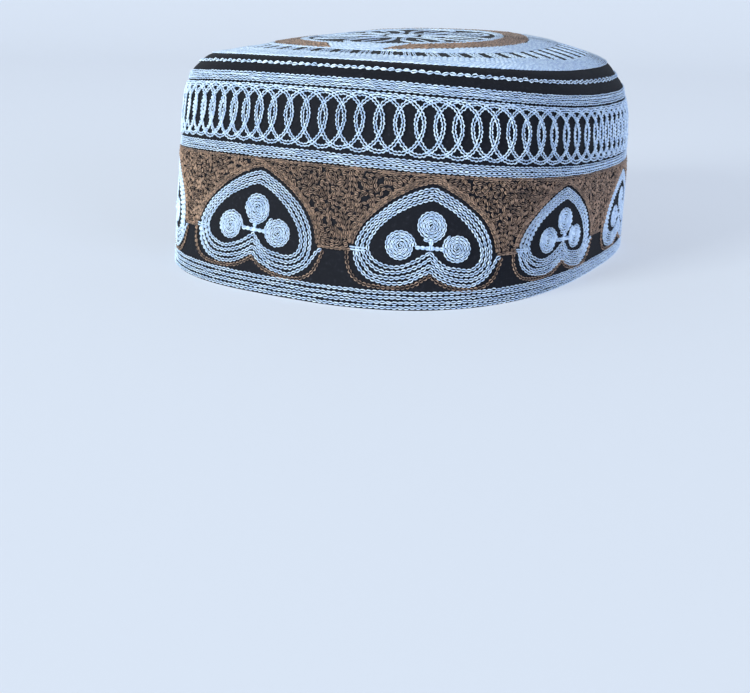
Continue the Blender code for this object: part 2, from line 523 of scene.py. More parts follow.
def ring_line(number):
    """One ring's line, and how high it lies: its right side crosses over, its left side under."""
    turn = np.linspace(0, 2 * math.pi, RING_POINTS)
    reach = np.where(np.cos(turn) > 0, ring_gap[number], ring_gap[number - 1]) + LENS_HALF
    stretch = 1 + RING_UNEVEN * math.sin(number * RING_CHANGE)
    tall = np.where(np.sin(turn) > 0, RING_ABOVE, RING_BELOW) * stretch
    radius = oval_radius(turn, 2 * reach, 2 * tall, RING_POWER)
    along = ring_at[number] + radius * np.cos(turn)
    up = RING_MIDDLE_UP + radius * np.sin(turn)
    lift = CROSSING_LIFT * (0.5 + 0.5 * np.cos(turn))
    return strip(along, up), lift


ring_rows = []
for number in range(RING_COUNT):
    line, lift = ring_line(number)
    ring_rows.append(chain(line, lift=lift, closed=True, **RING_ROW))
ring_rows.append(hoop_row(RING_EDGE, lift=RING_EDGE_LIFT, **BAND_ROW))
rings = sew("ring_chain", ring_rows)

# %% [markdown]
# ## Ten hearts
# Ten upside-down hearts stand round the cap. Each is three closed rows of chain that pull together
# on the left and spread apart on the right, and a fourth row that starts at the left, runs under
# both lobes and ends in a small hook. Two fine short rows lie across the left side, where the
# sewing started. The outer and the inner row are drawn through a few named places, and the row
# between them is halfway.

# %% The shape of a heart
# place: outer row across, outer row up, inner row across, inner row up, in millimetres
HEART = {
    "apex":              (0.7, 34.65,   0.5, 31.9),
    "left_brow":         (-2.9, 33.85,  -3.9, 30.6),
    "left_slope":        (-8.75, 31.45, -8.25, 28.8),
    "left_shoulder":     (-16.1, 26.75, -14.4, 25.05),
    "left_side":         (-21.5, 21.4,  -17.95, 21.35),
    "left_start":        (-23.7, 16.6,  -20.2, 16.4),
    "left_lobe_side":    (-22.3, 13.0,  -19.3, 14.0),
    "left_lobe_low":     (-18.6, 9.2,   -15.9, 11.95),
    "left_lobe_bottom":  (-12.5, 8.3,   -12.0, 11.25),
    "left_lobe_in":      (-5.0, 9.7,    -5.0, 13.2),
    "notch":             (-0.2, 12.2,   -0.3, 15.9),
    "right_lobe_in":     (4.5, 9.2,     3.6, 12.3),
    "right_lobe_bottom": (10.0, 7.9,    9.5, 10.95),
    "right_lobe_low":    (14.9, 8.1,    13.9, 10.95),
    "right_lobe_side":   (19.4, 10.9,   16.6, 12.8),
    "right_side":        (20.45, 15.5,  17.3, 15.5),
    "right_flank":       (19.8, 19.2,   16.4, 19.0),
    "right_shoulder":    (16.8, 24.5,   13.4, 23.3),
    "right_slope":       (11.6, 29.0,   8.2, 28.0),
    "right_brow":        (4.7, 33.0,    4.3, 30.2),
}
HOOK_ROW = [
    (-24.3, 15.2), (-23.65, 12.2), (-22.5, 10.3), (-20.9, 9.0), (-19.0, 7.95), (-16.8, 7.35), (-14.8, 7.0),
    (-12.0, 6.85), (-9.0, 7.1), (-6.6, 7.7), (-4.0, 8.85), (-1.9, 9.85), (-0.1, 10.6), (2.2, 8.8),
    (4.5, 7.9), (6.7, 7.1), (8.9, 6.6), (11.1, 6.3), (13.4, 6.2), (15.0, 6.6), (16.7, 7.35), (18.4, 8.3),
    (20.0, 9.5), (21.0, 10.9), (22.0, 12.1), (22.8, 13.4), (24.4, 14.4),
]
HOOK_NOTCH = 12             # which of its places is the notch
# where each heart stands, as a part of the way round, and how wide it is
HEARTS = [
    (0.0938, 0.96), (0.1892, 0.96), (0.2846, 0.96), (0.3800, 0.96), (0.4828, 1.06),
    (0.5905, 1.00), (0.6926, 1.06), (0.8075, 1.00), (0.9029, 0.96), (0.9983, 0.96),
]
HEART_ROWS = 3
SAMPLES_PER_LEG = 12


def slope_between(before, here, after):
    """Direction of a curve at a point between two others, more like its nearer side."""
    first, second = np.linalg.norm(here - before), np.linalg.norm(after - here)
    return ((here - before) / first * second + (after - here) / second * first) / (first + second)


def smooth_line(points, closed=False, corners=()):
    """A curve through the points, bending evenly; corners keep their points sharp."""
    points = np.asarray(points, float)
    count = len(points)
    t = np.linspace(0, 1, SAMPLES_PER_LEG, endpoint=False)[:, None]
    made = []
    for i in range(count if closed else count - 1):
        j = (i + 1) % count
        chord = points[j] - points[i]
        bends = []
        for k in (i, j):
            if k in corners or (not closed and k in (0, count - 1)):
                bends.append(chord)
            else:
                slope = slope_between(points[k - 1], points[k], points[(k + 1) % count])
                bends.append(slope * np.linalg.norm(chord))
        made.append(
            points[i] * (1 + 2 * t) * (1 - t) ** 2 + bends[0] * t * (1 - t) ** 2
            + points[j] * t * t * (3 - 2 * t) + bends[1] * t * t * (t - 1)
        )
    return np.concatenate([*made, points[:1] if closed else points[-1:]])


heart_table = np.array(list(HEART.values()))
heart_names = list(HEART)
heart_corners = (heart_names.index("apex"), heart_names.index("notch"))


def heart_line(part):
    """One row's line: part 0 is the outer row, 1 the inner one."""
    row = heart_table[:, :2] * (1 - part) + heart_table[:, 2:] * part
    return smooth_line(row, closed=True, corners=heart_corners)


def on_heart(heart, line):
    """A line drawn round a heart's own middle, in millimetres, laid on the cap."""
    turn, wide = heart
    return strip(turn * ROUND + line[:, 0] * wide * MM, line[:, 1] * MM)


# %% Heart rows
HEART_ROW = dict(width=1.36 * MM, stitch=1.85 * MM, strand=0.47 * MM, pinch=BAND_PINCH)
# two fine short rows across each heart's left side, over its own rows
START_ROW = dict(width=0.60 * MM, stitch=1.85 * MM, strand=0.30 * MM, lift=0.35 * MM)
# in millimetres: how far up they lie, three places across, and how much they rise to the first
START_ROWS = (15.35, 16.05)
START_FROM, START_BEND, START_TO = -26.0, -23.0, -20.6
START_RISE = 0.1

heart_rows = []
for heart in HEARTS:
    for number in range(HEART_ROWS):
        line = on_heart(heart, heart_line(number / (HEART_ROWS - 1)))
        heart_rows.append(chain(line, closed=True, **HEART_ROW))
    hook = on_heart(heart, smooth_line(HOOK_ROW, corners=(HOOK_NOTCH,)))
    heart_rows.append(chain(hook, **HEART_ROW))
    for up in START_ROWS:
        start = smooth_line([(START_FROM, up + START_RISE), (START_BEND, up), (START_TO, up)])
        heart_rows.append(chain(on_heart(heart, start), **START_ROW))
hearts = sew("hearts", heart_rows)

# %% [markdown]
# ## Trefoils
# Three discs stand on crossed stems inside each heart. A disc is one row of chain that winds in
# from its edge to its middle, so its path is a spiral.

# %% Trefoils
# across, up, reach to the sides and reach up to the disc's own edge, in millimetres
DISCS = [(-9.9, 17.5, 5.35, 4.95), (8.6, 17.3, 5.3, 4.85), (-0.1, 23.75, 5.4, 5.1)]
DISC_PITCH = 1.04
DISC_ROW = dict(width=1.20 * MM, stitch=1.6 * MM, strand=0.43 * MM)
STEM_ROW = dict(width=1.50 * MM, stitch=1.6 * MM, strand=0.76 * MM)    # too thick to show holes
STEM = [(-5.0, 17.3), (-0.2, 17.15), (4.2, 17.0)]
STALK = [(0.15, 19.6), (-0.1, 18.4), (-0.3, 16.4)]
SPIRAL_POINTS = 40          # for each turn
SPIRAL_END = 0.3            # millimetres from the middle, where it stops
SPIRAL_SHIFT = 2.1          # radians from one disc's start to the next one's


def spiral(disc, start):
    """A line that winds in round a disc's middle, from the edge."""
    across, up, wide, tall = disc
    edge = (wide + tall) / 2 - DISC_ROW["width"] / MM / 2
    turns = edge / DISC_PITCH
    part = np.linspace(0, 1, int(turns * SPIRAL_POINTS))
    radius = edge - (edge - SPIRAL_END) * part
    angle = start + 2 * math.pi * turns * part
    squash = 2 / (wide + tall)
    x = across + radius * np.cos(angle) * wide * squash
    return np.stack([x, up + radius * np.sin(angle) * tall * squash], axis=1)


trefoil_rows = []
for heart in HEARTS:
    for number, disc in enumerate(DISCS):
        line = spiral(disc, number * SPIRAL_SHIFT)
        trefoil_rows.append(chain(on_heart(heart, line), **DISC_ROW))
    for line in (STEM, STALK):
        trefoil_rows.append(chain(on_heart(heart, smooth_line(line)), **STEM_ROW))
trefoils = sew("trefoils", trefoil_rows)

# %% [markdown]
# ## Brown outlines and fill
# A single brown row runs under each heart's lobes, and two brown rows follow its upper sides. The
# ground between the hearts, from half their height up to the low band, is covered with one brown
# row after another that wanders and curls. Where the rows part, small bits of black cloth show.

# %% Brown outlines
LOWER_OUTLINE = [
    (-26.9, 15.0), (-26.75, 12.5), (-26.0, 10.0), (-24.75, 8.25), (-23.0, 7.0), (-20.0, 6.1), (-16.0, 5.75),
    (-12.0, 5.7), (-8.0, 6.0), (-5.0, 6.75), (-3.0, 7.75), (-1.5, 8.6), (0.0, 9.25), (2.0, 7.6), (3.8, 6.8),
    (6.5, 5.9), (10.0, 5.3), (13.4, 5.1), (16.5, 5.35), (19.3, 6.1), (20.9, 7.05), (22.2, 8.2), (23.1, 9.8),
    (23.9, 11.4), (24.4, 12.7), (25.0, 14.1),
]
OUTLINE_NOTCH = 12          # which of its places is under the notch
BROWN_STITCH = 1.6 * MM
# the row under the lobes has wider links, drawn tight; the others lie over the edge of the fill
LOWER_ROW = dict(width=1.35 * MM, stitch=BROWN_STITCH, strand=0.40 * MM, pinch=0.5)
OUTLINE_ROW = dict(width=1.06 * MM, stitch=BROWN_STITCH, strand=0.40 * MM, lift=0.25 * MM)
UPPER_ROWS = 2
AVERAGED = 15               # an odd number: so many neighbouring directions make one
# these are in millimetres
BROWN_PITCH = 0.98
UPPER_GAP = (1.55, 2.30)    # from the heart's outer row to the first brown row, left and right
UPPER_TAIL = 0.5            # how far these rows run on under the fill's foot
FILL_FOOT, FILL_TOP = 15.2, 38.3


def upper_outline(row):
    """A line outside the heart's upper half, from its left side over the apex to its right side."""
    outer = heart_line(0.0)
    left_start = heart_names.index("left_start") * SAMPLES_PER_LEG
    right_side = heart_names.index("right_side") * SAMPLES_PER_LEG
    half = np.concatenate([outer[right_side:-1], outer[:left_start + 1]])[::-1]
    ahead = np.gradient(half, axis=0)
    outward = np.stack([-ahead[:, 1], ahead[:, 0]], axis=1)
    outward /= np.linalg.norm(outward, axis=1, keepdims=True)
    # a moving average keeps the corner at the apex from folding over
    kernel = np.ones(AVERAGED) / AVERAGED
    padded = np.pad(outward, ((AVERAGED // 2, AVERAGED // 2), (0, 0)), mode="edge")
    outward = np.stack([np.convolve(padded[:, c], kernel, "valid") for c in (0, 1)], axis=1)
    outward /= np.linalg.norm(outward, axis=1, keepdims=True)
    gap = np.linspace(*UPPER_GAP, len(half)) + row * BROWN_PITCH
    line = half + outward * gap[:, None]
    return line[line[:, 1] >= FILL_FOOT - UPPER_TAIL]


outline_rows = []
for heart in HEARTS:
    line = on_heart(heart, smooth_line(LOWER_OUTLINE, corners=(OUTLINE_NOTCH,)))
    outline_rows.append(chain(line, **LOWER_ROW))
    for row in range(UPPER_ROWS):
        outline_rows.append(chain(on_heart(heart, upper_outline(row)), **OUTLINE_ROW))
outline_rows.append(hoop_row(FILL_TOP * MM, pinch=BAND_PINCH, **OUTLINE_ROW))
outlines = sew("brown_outlines", outline_rows)

# %% [markdown]
# The fill covers its ground evenly, yet its row turns every way. Such a line can be found by walking
# round a maze: a tree is grown at random over a coarse grid of cells, and the path that keeps its
# left hand on the tree's branches passes every small square once and comes back to its start. A slow
# swirl then bends the squares, so that no straight lattice shows.

# %% A tree over the cells
FILL_CELLS_HIGH = 13
FILL_PITCH = (FILL_TOP - FILL_FOOT) / FILL_CELLS_HIGH / 2   # between neighbouring parts of the row
NEW_CELLS = 6               # the tree grows from one of this many of its newest cells
SIDES_OF_CELL = ((1, 0), (0, 1), (-1, 0), (0, -1))


def grow_tree(cells, draw):
    """Joins the cells at random, without a loop: the set of joined pairs, each written both ways."""
    joined = set()
    left = set(cells)
    while left:
        start = min(left)
        left.remove(start)
        edge = [start]
        while edge:
            cell = edge[draw.integers(max(0, len(edge) - NEW_CELLS), len(edge))]
            ways = [(cell[0] + a, cell[1] + b) for a, b in SIDES_OF_CELL]
            ways = [way for way in ways if way in left]
            if not ways:
                edge.remove(cell)
                continue
            other = ways[draw.integers(len(ways))]
            left.remove(other)
            edge.append(other)
            joined.update([(cell, other), (other, cell)])
    return joined


# %% A walk round the tree
def walk_round(cells, joined):
    """Closed walks round the trees, over the small squares, four to a cell."""
    steps = {}

    def step(a, b):
        steps.setdefault(a, []).append(b)
        steps.setdefault(b, []).append(a)

    for i, j in cells:
        x, y = 2 * i, 2 * j
        if ((i, j), (i + 1, j)) in joined:
            step((x + 1, y), (x + 2, y))
            step((x + 1, y + 1), (x + 2, y + 1))
        else:
            step((x + 1, y), (x + 1, y + 1))
        if ((i, j), (i, j + 1)) in joined:
            step((x, y + 1), (x, y + 2))
            step((x + 1, y + 1), (x + 1, y + 2))
        else:
            step((x, y + 1), (x + 1, y + 1))
        if ((i, j), (i - 1, j)) not in joined:
            step((x, y), (x, y + 1))
        if ((i, j), (i, j - 1)) not in joined:
            step((x, y), (x + 1, y))
    walks = []
    fresh = set(steps)
    while fresh:
        here = min(fresh)
        walk = []
        while here in fresh:
            fresh.remove(here)
            walk.append(here)
            here = next((square for square in steps[here] if square in fresh), here)
        walks.append(np.array(walk, float))
    return walks


# %% Swirls and soft corners
SWIRL = 0.51                # millimetres
SWIRL_WAVES = (2.3, 1.7, 2.1, 1.6)      # millimetres for each radian of a wave
WAVE_SHIFTS = (1.3, 1.0, 2.1, 0.7)      # radians by which each moves on from gap to gap
SECOND_WAVE = 0.7           # height of the second wave each way, as a part of the first one's
POINTS_PER_SQUARE = 3
SOFTENINGS = 3              # how often each point moves to the mean of itself and its neighbours


def swirl(points, seed):
    """Bends the ground by two waves each way; the seed sets where they start."""
    x, y = points[:, 0], points[:, 1]
    places = zip((y, x + y, x, x - y), SWIRL_WAVES, WAVE_SHIFTS)
    first, second, third, fourth = (place / wave + shift * seed for place, wave, shift in places)
    across = np.sin(first) + SECOND_WAVE * np.sin(second)
    up = np.sin(third) + SECOND_WAVE * np.cos(fourth)
    return points + SWIRL * np.stack([across, up], axis=1)


def round_off(walk):
    """A closed walk with more points and soft corners."""
    closed = np.vstack([walk, walk[:1]])
    fine = np.arange(0, len(walk), 1 / POINTS_PER_SQUARE)
    line = np.stack([np.interp(fine, np.arange(len(closed)), closed[:, c]) for c in (0, 1)], axis=1)
    for _ in range(SOFTENINGS):
        line = (np.roll(line, 1, axis=0) + line + np.roll(line, -1, axis=0)) / 3
    return np.vstack([line, line[:1]])


# %% The gap between two hearts
FILL_EDGE = 0.3             # the fill starts this many rows out from the first brown row
BARE_CELLS = 0.035          # part of the cells the row leaves out
fill_edge = upper_outline(FILL_EDGE)
apex_at = int(np.argmax(fill_edge[:, 1]))
left_half, right_half = fill_edge[:apex_at + 1], fill_edge[apex_at:][::-1]
sides = round(fill_edge[:, 0].min(), 1), round(fill_edge[:, 0].max(), 1)
print("a heart keeps the fill away from", sides[0], "to", sides[1], "mm")


def reach_of(half, y):
    """How far a heart's brown edge reaches sideways at a height."""
    return float(np.interp(y, half[:, 1], half[:, 0]))


def fill_edges(number, y):
    """The two sides of the gap after a heart, at a height, in millimetres along the strip."""
    turn, wide = HEARTS[number]
    next_turn, next_wide = HEARTS[(number + 1) % len(HEARTS)]
    there = (next_turn + (next_turn < turn)) * ROUND / MM
    return turn * ROUND / MM + wide * reach_of(right_half, y), there + next_wide * reach_of(left_half, y)


def fill_cells(number, draw):
    """The maze's cells that lie in the gap after a heart, and where its first cell stands."""
    left, right = fill_edges(number, FILL_TOP)
    cells = []
    size = 2 * FILL_PITCH
    for j in range(FILL_CELLS_HIGH):
        low, high = fill_edges(number, FILL_FOOT + (j + 0.5) * size)
        for i in range(int((right - left) / size)):
            # a cell counts where the middle half of it is in the gap
            inside = low < left + (i + 0.25) * size and left + (i + 0.75) * size < high
            if inside and draw.random() > BARE_CELLS:
                cells.append((i, j))
    return cells, np.array([left, FILL_FOOT]) + FILL_PITCH / 2


# %% Brown fill
FILL_ROW = dict(width=1.00 * MM, stitch=1.75 * MM, strand=0.34 * MM, pinch=0.5)
FILL_PILE = 0.45 * MM       # how far loops ride up on one another
PILED_POINTS = 6            # points of the path that ride at one height
FOOT_POINTS = 24

fill_rows = []
for number in range(len(HEARTS)):
    draw = np.random.default_rng(number + 1)
    cells, corner = fill_cells(number, draw)
    for walk in walk_round(cells, grow_tree(cells, draw)):
        line = round_off(swirl(corner + walk * FILL_PITCH, number + 1))
        line[:, 1] = np.clip(line[:, 1], FILL_FOOT, FILL_TOP)
        path = strip(line[:, 0] * MM, line[:, 1] * MM)
        heights = hand.uniform(0, FILL_PILE, len(line) // PILED_POINTS + 1)
        piled = np.repeat(heights, PILED_POINTS)[:len(line)]
        fill_rows.append(chain(path, lift=piled, closed=True, **FILL_ROW))
    foot = np.linspace(*fill_edges(number, FILL_FOOT), FOOT_POINTS) * MM
    fill_rows.append(chain(strip(foot, FILL_FOOT * MM), **OUTLINE_ROW))
brown_fill = sew("brown_fill", fill_rows)

# %% [markdown]
# ## The row over the seam
# The smooth black shoulder has one white row of long links. They are drawn tight where they meet,
# so that each looks like a leaf by itself.

# %% Shoulder row
SHOULDER_ROW = dict(width=1.40 * MM, stitch=2.6 * MM, strand=0.43 * MM, pinch=0.40)
SHOULDER_UP = 72.0 * MM
SHOULDER_LEAN = 0.36 * MM   # every other link leans up, the others down
LINK_POINTS = 8             # points of the path for each link


def shoulder_row():
    """Links that lean up and down in turn."""
    pairs = round(ROUND / SHOULDER_ROW["stitch"] / 2)
    along = np.linspace(0, ROUND, pairs * 2 * LINK_POINTS + 1)
    phase = np.arange(len(along)) / LINK_POINTS % 2
    path = strip(along, SHOULDER_UP + SHOULDER_LEAN * (2 * np.abs(phase - 1) - 1))
    return chain(path, closed=True, **SHOULDER_ROW)


shoulder = sew("shoulder_row", [shoulder_row()])

# %% [markdown]
# ## The crown
# White rows run round the crown's edge. Inside them stand short strokes with a black slit after
# every third. At the cap's right the slits are longer, so the inner rows stop there one after
# another and the strokes start further out. Then comes a dense brown ring, which is rounder than
# the cap and stands a little to its front, so the white rows between slits and ring end where the
# two meet.

# %% Crown rows
CROWN_ROW = dict(width=1.06 * MM, stitch=2.0 * MM, strand=0.37 * MM)
CROWN_WANDER = 0.05 * MM
CROWN_ROWS = np.linspace(78.3, 90.4, 11) * MM
SHORT_ROWS = 4              # this many of the rows stop where the slits are longer
SHORT_STEP = 9 * MM         # each runs on this much further than the row inside it
LONG_SLITS = (398 * MM, 538 * MM)   # where along the strip the innermost row is away
WHOLE_POINTS, SHORT_POINTS = 700, 600


def row_ends(number):
    """Where a short row stops, and where it goes on again."""
    inset = SHORT_STEP * (len(CROWN_ROWS) - 1 - number)
    return LONG_SLITS[0] + inset, LONG_SLITS[1] - inset


crown_rows, short_rows = [], []
for number, up in enumerate(CROWN_ROWS):
    whole = number < len(CROWN_ROWS) - SHORT_ROWS
    stop, again = row_ends(number)
    if whole:
        along = np.linspace(0, ROUND, WHOLE_POINTS)
    else:
        along = np.linspace(again - ROUND, stop, SHORT_POINTS)
        short_rows.append((stop, again))
    waves = wander(along, CROWN_WANDER)
    # the whole rows stay level, and only the short ones wander
    path = strip(along, up if whole else up + waves)
    crown_rows.append(chain(path, closed=whole, **CROWN_ROW))
print(len(crown_rows), "rows round the crown,", len(short_rows), "of them short")

# %% Strokes and slits
SLITS = 48
STROKES_PER_SLIT = 3
STROKE_FROM, STROKE_TO = 91.0 * MM, 98.4 * MM
STROKE_PITCH = 2.45 * MM    # measured at the low band; the strokes are closer up here
STROKE_LEAN = -1.5 * MM
STROKE_POINTS = 20
FLAT = 0.45                 # strokes and petals are pressed flat, the rows round them are not
STROKE_ROW = dict(width=1.06 * MM, stitch=1.7 * MM, strand=0.37 * MM, flat=FLAT)

stroke_rows = []
for number in range(SLITS):
    for stroke in range(STROKES_PER_SLIT):
        part = np.linspace(0, 1, STROKE_POINTS)
        foot = (number + 0.5) / SLITS * ROUND + (stroke - (STROKES_PER_SLIT - 1) / 2) * STROKE_PITCH
        along = foot + STROKE_LEAN * (part - 0.5)
        missing = sum(stop < foot < again for stop, again in short_rows)
        start = STROKE_FROM - missing * (CROWN_ROWS[1] - CROWN_ROWS[0])
        path = strip(along, start + (STROKE_TO - start) * part)
        stroke_rows.append(chain(path, **STROKE_ROW))
strokes = sew("crown_strokes", stroke_rows)

# %% Lines round the brown ring
# the first three are in millimetres, seen from above
RING_CENTRE = (-5.0, 3.4)
RING_HALF_LENGTH, RING_HALF_WIDTH = 52.0, 47.6
CROWN_PITCH = 1.16
RING_SQUARENESS = 2.15      # a little squarer than an ellipse
BROWN_ROW = dict(width=1.00 * MM, stitch=BROWN_STITCH, strand=0.34 * MM)
RING_PILE = 0.30 * MM       # how far the brown links ride up on one another
degrees = np.linspace(0, 360, 721)


def around_ring(turn, reach):
    """A path on the crown, from degrees and millimetres round the ring's middle."""
    x = RING_CENTRE[0] + reach * np.cos(np.radians(turn))
    y = RING_CENTRE[1] + reach * np.sin(np.radians(turn))
    return plan(x * MM, y * MM)


def ring_reach(turn, inward):
    """From the ring's middle to one of its rows."""
    length, width = 2 * (RING_HALF_LENGTH - inward), 2 * (RING_HALF_WIDTH - inward)
    return oval_radius(np.radians(turn), length, width, RING_SQUARENESS)


def crown_chain(turn, reach, closed=False, flat=1.0):
    """A row of white thread on the crown."""
    return chain(around_ring(turn, reach), closed=closed, flat=flat, **CROWN_ROW)


def brown_crown_chain(turn, reach):
    """A row of brown thread on the crown, whose links ride up on one another."""
    lift = hand.uniform(0, RING_PILE, len(turn))
    return chain(around_ring(turn, reach), lift=lift, **BROWN_ROW)


# %% White rows from the strokes to the ring
AFTER_STROKES = 0.6 * MM    # from the strokes' ends to the first row
BEFORE_RING = 0.6           # millimetres; nearer the ring than this a row stops
ROWS_TO_RING = 12           # each only where there is room for it

edge = cap_point(all_round[:-1], STROKE_TO + AFTER_STROKES)[:, :2] / MM - RING_CENTRE
edge_turn = np.degrees(np.arctan2(edge[:, 1], edge[:, 0]))
edge_reach = np.interp(degrees, edge_turn, np.hypot(edge[:, 0], edge[:, 1]), period=360)
for row in range(ROWS_TO_RING):
    reach = edge_reach - row * CROWN_PITCH
    free = reach > ring_reach(degrees, -BEFORE_RING)
    if free.all():
        crown_rows.append(crown_chain(degrees, reach, closed=True))
    elif free.any():
        first = int(np.argmin(free))    # turned so that the free stretch is in one piece
        free, turn, reach = np.roll(free, -first), np.roll(degrees, -first), np.roll(reach, -first)
        turn, reach = turn[free], reach[free]
        crown_rows.append(crown_chain(np.degrees(np.unwrap(np.radians(turn))), reach))
crown_band = sew("crown_rows", crown_rows)

# %% Brown ring
BROWN_ROWS_IN = np.linspace(0.5, 8.7, 9)     # millimetres in from the ring's edge
# where white runs across the ring, in degrees: its middle, half its width outside and inside
WHITE_GAPS = ((189.5, 9.5, 20.0), (68.0, 9.5, 20.0))
THREAD_CHANGE = 1           # degrees between white and brown
WHITE_POINTS, BROWN_POINTS = 40, 300

brown_ring_rows, rosette_rows = [], []
for inward in BROWN_ROWS_IN:
    part = inward / BROWN_ROWS_IN[-1]
    gaps = sorted((middle, outside + (inside - outside) * part) for middle, outside, inside in WHITE_GAPS)
    for (middle, half), (after, after_half) in zip(gaps, gaps[1:] + [(gaps[0][0] + 360, gaps[0][1])]):
        white = np.linspace(middle - half, middle + half, WHITE_POINTS)
        start, end = middle + half + THREAD_CHANGE, after - after_half - THREAD_CHANGE
        brown = np.linspace(start, end, BROWN_POINTS)
        rosette_rows.append(crown_chain(white, ring_reach(white, inward)))
        brown_ring_rows.append(brown_crown_chain(brown, ring_reach(brown, inward)))
brown_ring = sew("brown_ring", brown_ring_rows)

# %% [markdown]
# Inside the ring, three white rows stand round a black ground with a white rosette: eight petals
# round a small disc. Each petal is two rows, one inside the other, with a vein.

# %% Rosette
# in millimetres: the rows inward from the ring's edge, the rest outward from its middle
INSIDE_ROWS_IN = (9.9, 11.0, 12.1)
PETALS = 8
PETAL_FROM, PETAL_TO, PETAL_HALF = 8.5, 37.5, 7.4
PETAL_INSETS = (0.0, 1.15)
PETAL_SWELL = 0.5 / 1.15    # part by which a petal is wider toward its tip
SHORT_PETAL = 0.05          # part by which every second petal is shorter
VEIN_FROM, VEIN_TO = 18.5, 32.5
DISC_FROM, DISC_TO = 0.4, 6.5
PETAL_POINTS, VEIN_POINTS, DISC_POINTS = 60, 30, 260


def petal(number, inset):
    """A drop-shaped loop that stands out from the middle of the crown."""
    turn = np.linspace(0, 2 * math.pi, PETAL_POINTS)
    reach = (PETAL_FROM + PETAL_TO) / 2 - ((PETAL_TO - PETAL_FROM) / 2 - inset) * np.cos(turn)
    across = (PETAL_HALF - inset) * np.sin(turn) * (1 - PETAL_SWELL * np.cos(turn))
    lean = np.degrees(np.arctan2(across, reach))
    return 360 * number / PETALS + lean, np.hypot(reach, across) * (1 - SHORT_PETAL * (number % 2))


for inward in INSIDE_ROWS_IN:
    rosette_rows.append(crown_chain(degrees, ring_reach(degrees, inward), closed=True))
for number in range(PETALS):
    for inset in PETAL_INSETS:
        rosette_rows.append(crown_chain(*petal(number, inset), closed=True, flat=FLAT))
    turn = np.full(VEIN_POINTS, 360 * number / PETALS)
    reach = np.linspace(VEIN_FROM, VEIN_TO, VEIN_POINTS)
    rosette_rows.append(crown_chain(turn, reach, flat=FLAT))
turn = np.linspace(0, 360 * DISC_TO / CROWN_PITCH, DISC_POINTS)
rosette_rows.append(crown_chain(turn, np.linspace(DISC_FROM, DISC_TO, DISC_POINTS), flat=FLAT))
rosette = sew("rosette", rosette_rows)
print("all the thread:", sum(triangles.values()), "triangles")

# %% [markdown]
# ## Finishes
# The thread is soft cotton with a silky twist. Its colour changes a little from stitch to stitch,
# and fine slanting lines of twist run round each strand, as relief and as painted shade in their
# grooves. Each link also has painted shade toward its ends. The cloth is a close plain weave with a
# little lint. Both effects are node groups, so every piece takes the same thread or cloth.

# %% Node helpers
def link(tree, output, target):
    """Joins two sockets."""
    tree.links.new(output, target)


def set_values(node, values):
    """Gives a node's sockets their own values, by name."""
    for name, value in values.items():
        node.inputs[name].default_value = value


def math_node(tree, operation, *values):
    """A Math node fed by sockets or numbers."""
    node = tree.nodes.new("ShaderNodeMath")
    node.operation = operation
    for socket, value in zip(node.inputs, values):
        if isinstance(value, (int, float)):
            socket.default_value = value
        else:
            link(tree, value, socket)
    return node.outputs[0]


def new_group(name, inputs, outputs):
    """An empty shader group with named sockets: (kind, name, value)."""
    group = bpy.data.node_groups.new(name, "ShaderNodeTree")
    for kind, socket_name, value in inputs:
        socket = group.interface.new_socket(socket_name, in_out="INPUT", socket_type=kind)
        socket.default_value = value
    for kind, socket_name in outputs:
        group.interface.new_socket(socket_name, in_out="OUTPUT", socket_type=kind)
    start = group.nodes.new("NodeGroupInput")
    end = group.nodes.new("NodeGroupOutput")
    return group, start, end


# %% Thread group
TWISTS = 9.0                # turns of the ply in one stitch
MEAN_LIGHT = 0.32           # how light thread is before twist and fibres lighten it, 0 to 1
# the twist's share is painted shade, lighter on the ply's ridges than in its grooves; the fibres' share
# varies at random
TWIST_GROOVE_SHADE, FUZZ_LIGHT = 0.35, 0.25
FUZZ_SCALE = 2600           # grain of the loose fibres
LINK_SHADE_REACH, LINK_SHADE_POWER = 1.8, 3.0     # painted shade at the ends of a link: how dark it is, and how fast that fades
SMOOTHEST, FUZZ_ROUGHNESS = 0.28, 0.3   # clean thread, and what its fibres add


